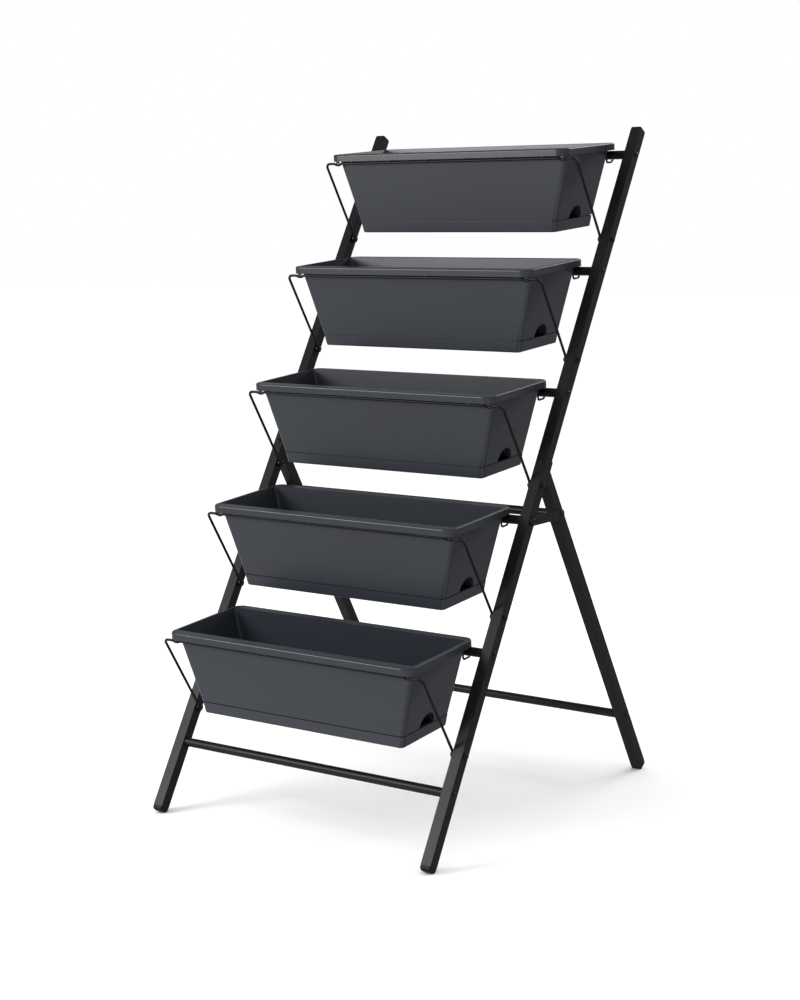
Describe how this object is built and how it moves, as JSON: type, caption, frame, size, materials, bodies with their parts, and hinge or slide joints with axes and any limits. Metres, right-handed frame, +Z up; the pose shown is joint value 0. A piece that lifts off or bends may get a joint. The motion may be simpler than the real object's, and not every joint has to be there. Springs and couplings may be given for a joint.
{
  "type": "vertical raised garden bed",
  "caption": "Leaning ladder planter with stacked troughs hung between tube rails on crossbars and wires; the troughs lift out and their water trays pull off.",
  "frame": {"origin": "centre of the overall box, on the floor", "axes": "+Z up, +X to the right of someone facing the troughs, -Y towards that person"},
  "size_m": [0.7638, 0.9392, 1.5318],
  "materials": {
    "frame": "satin black powder coat",
    "wire": "satin black",
    "fastener": "black oxide",
    "cap": "matt black",
    "planter": "satin slate grey",
    "tray": "satin slate grey"
  },
  "bodies": {
    "stand": {"rail_left": "frame", "rear_leg_left": "frame", "side_brace_left": "frame", "top_cap_left": "cap", "front_foot_left": "cap", "rear_foot_left": "cap", "rail_right": "frame", "rear_leg_right": "frame", "side_brace_right": "frame", "top_cap_right": "cap", "front_foot_right": "cap", "rear_foot_right": "cap", "front_stretcher": "frame", "rear_stretcher": "frame", "upper_rear_bar": "frame", "tier_bar_1": "frame", "tier_bar_2": "frame", "tier_bar_3": "frame", "tier_bar_4": "frame", "tier_bar_5": "frame", "bar_bolts": "fastener", "brace_bolts": "fastener", "stretcher_bolts": "fastener", "leg_bolts": "fastener", "leg_nuts": "fastener", "wire_bolts": "fastener", "wire_nuts": "fastener"},
    "planter_body_1": {"planter_1": "planter"},
    "tray_body_1": {"water_tray_1": "tray"},
    "wire_body_1": {"front_wire_1": "wire"},
    "planter_body_2": {"planter_2": "planter"},
    "tray_body_2": {"water_tray_2": "tray"},
    "wire_body_2": {"front_wire_2": "wire"},
    "planter_body_3": {"planter_3": "planter"},
    "tray_body_3": {"water_tray_3": "tray"},
    "wire_body_3": {"front_wire_3": "wire"},
    "planter_body_4": {"planter_4": "planter"},
    "tray_body_4": {"water_tray_4": "tray"},
    "wire_body_4": {"front_wire_4": "wire"},
    "planter_body_5": {"planter_5": "planter"},
    "tray_body_5": {"water_tray_5": "tray"},
    "wire_body_5": {"front_wire_5": "wire"}
  },
  "joints": [
    {"name": "planter_1_lift", "type": "slide", "parent": "stand", "child": "planter_body_1", "axis": [0, -0.0872, 0.9962], "range_m": [0, 0.04]},
    {"name": "tray_1_pull", "type": "slide", "parent": "planter_body_1", "child": "tray_body_1", "axis": [0, 0.0872, -0.9962], "range_m": [0, 0.014]},
    {"name": "wire_1_swing", "type": "hinge", "parent": "stand", "child": "wire_body_1", "pos_m": [0, 0.27321, 1.27493], "axis": [1, 0, 0], "range_deg": [0, 55]},
    {"name": "planter_2_lift", "type": "slide", "parent": "stand", "child": "planter_body_2", "axis": [0, -0.0872, 0.9962], "range_m": [0, 0.04]},
    {"name": "tray_2_pull", "type": "slide", "parent": "planter_body_2", "child": "tray_body_2", "axis": [0, 0.0872, -0.9962], "range_m": [0, 0.014]},
    {"name": "wire_2_swing", "type": "hinge", "parent": "stand", "child": "wire_body_2", "pos_m": [0, 0.12071, 1.0108], "axis": [1, 0, 0], "range_deg": [0, 55]},
    {"name": "planter_3_lift", "type": "slide", "parent": "stand", "child": "planter_body_3", "axis": [0, -0.0872, 0.9962], "range_m": [0, 0.04]},
    {"name": "tray_3_pull", "type": "slide", "parent": "planter_body_3", "child": "tray_body_3", "axis": [0, 0.0872, -0.9962], "range_m": [0, 0.014]},
    {"name": "wire_3_swing", "type": "hinge", "parent": "stand", "child": "wire_body_3", "pos_m": [0, -0.03179, 0.74666], "axis": [1, 0, 0], "range_deg": [0, 55]},
    {"name": "planter_4_lift", "type": "slide", "parent": "stand", "child": "planter_body_4", "axis": [0, -0.0872, 0.9962], "range_m": [0, 0.04]},
    {"name": "tray_4_pull", "type": "slide", "parent": "planter_body_4", "child": "tray_body_4", "axis": [0, 0.0872, -0.9962], "range_m": [0, 0.014]},
    {"name": "wire_4_swing", "type": "hinge", "parent": "stand", "child": "wire_body_4", "pos_m": [0, -0.18429, 0.48252], "axis": [1, 0, 0], "range_deg": [0, 55]},
    {"name": "planter_5_lift", "type": "slide", "parent": "stand", "child": "planter_body_5", "axis": [0, -0.0872, 0.9962], "range_m": [0, 0.04]},
    {"name": "tray_5_pull", "type": "slide", "parent": "planter_body_5", "child": "tray_body_5", "axis": [0, 0.0872, -0.9962], "range_m": [0, 0.014]},
    {"name": "wire_5_swing", "type": "hinge", "parent": "stand", "child": "wire_body_5", "pos_m": [0, -0.33679, 0.21838], "axis": [1, 0, 0], "range_deg": [0, 55]}
  ]
}
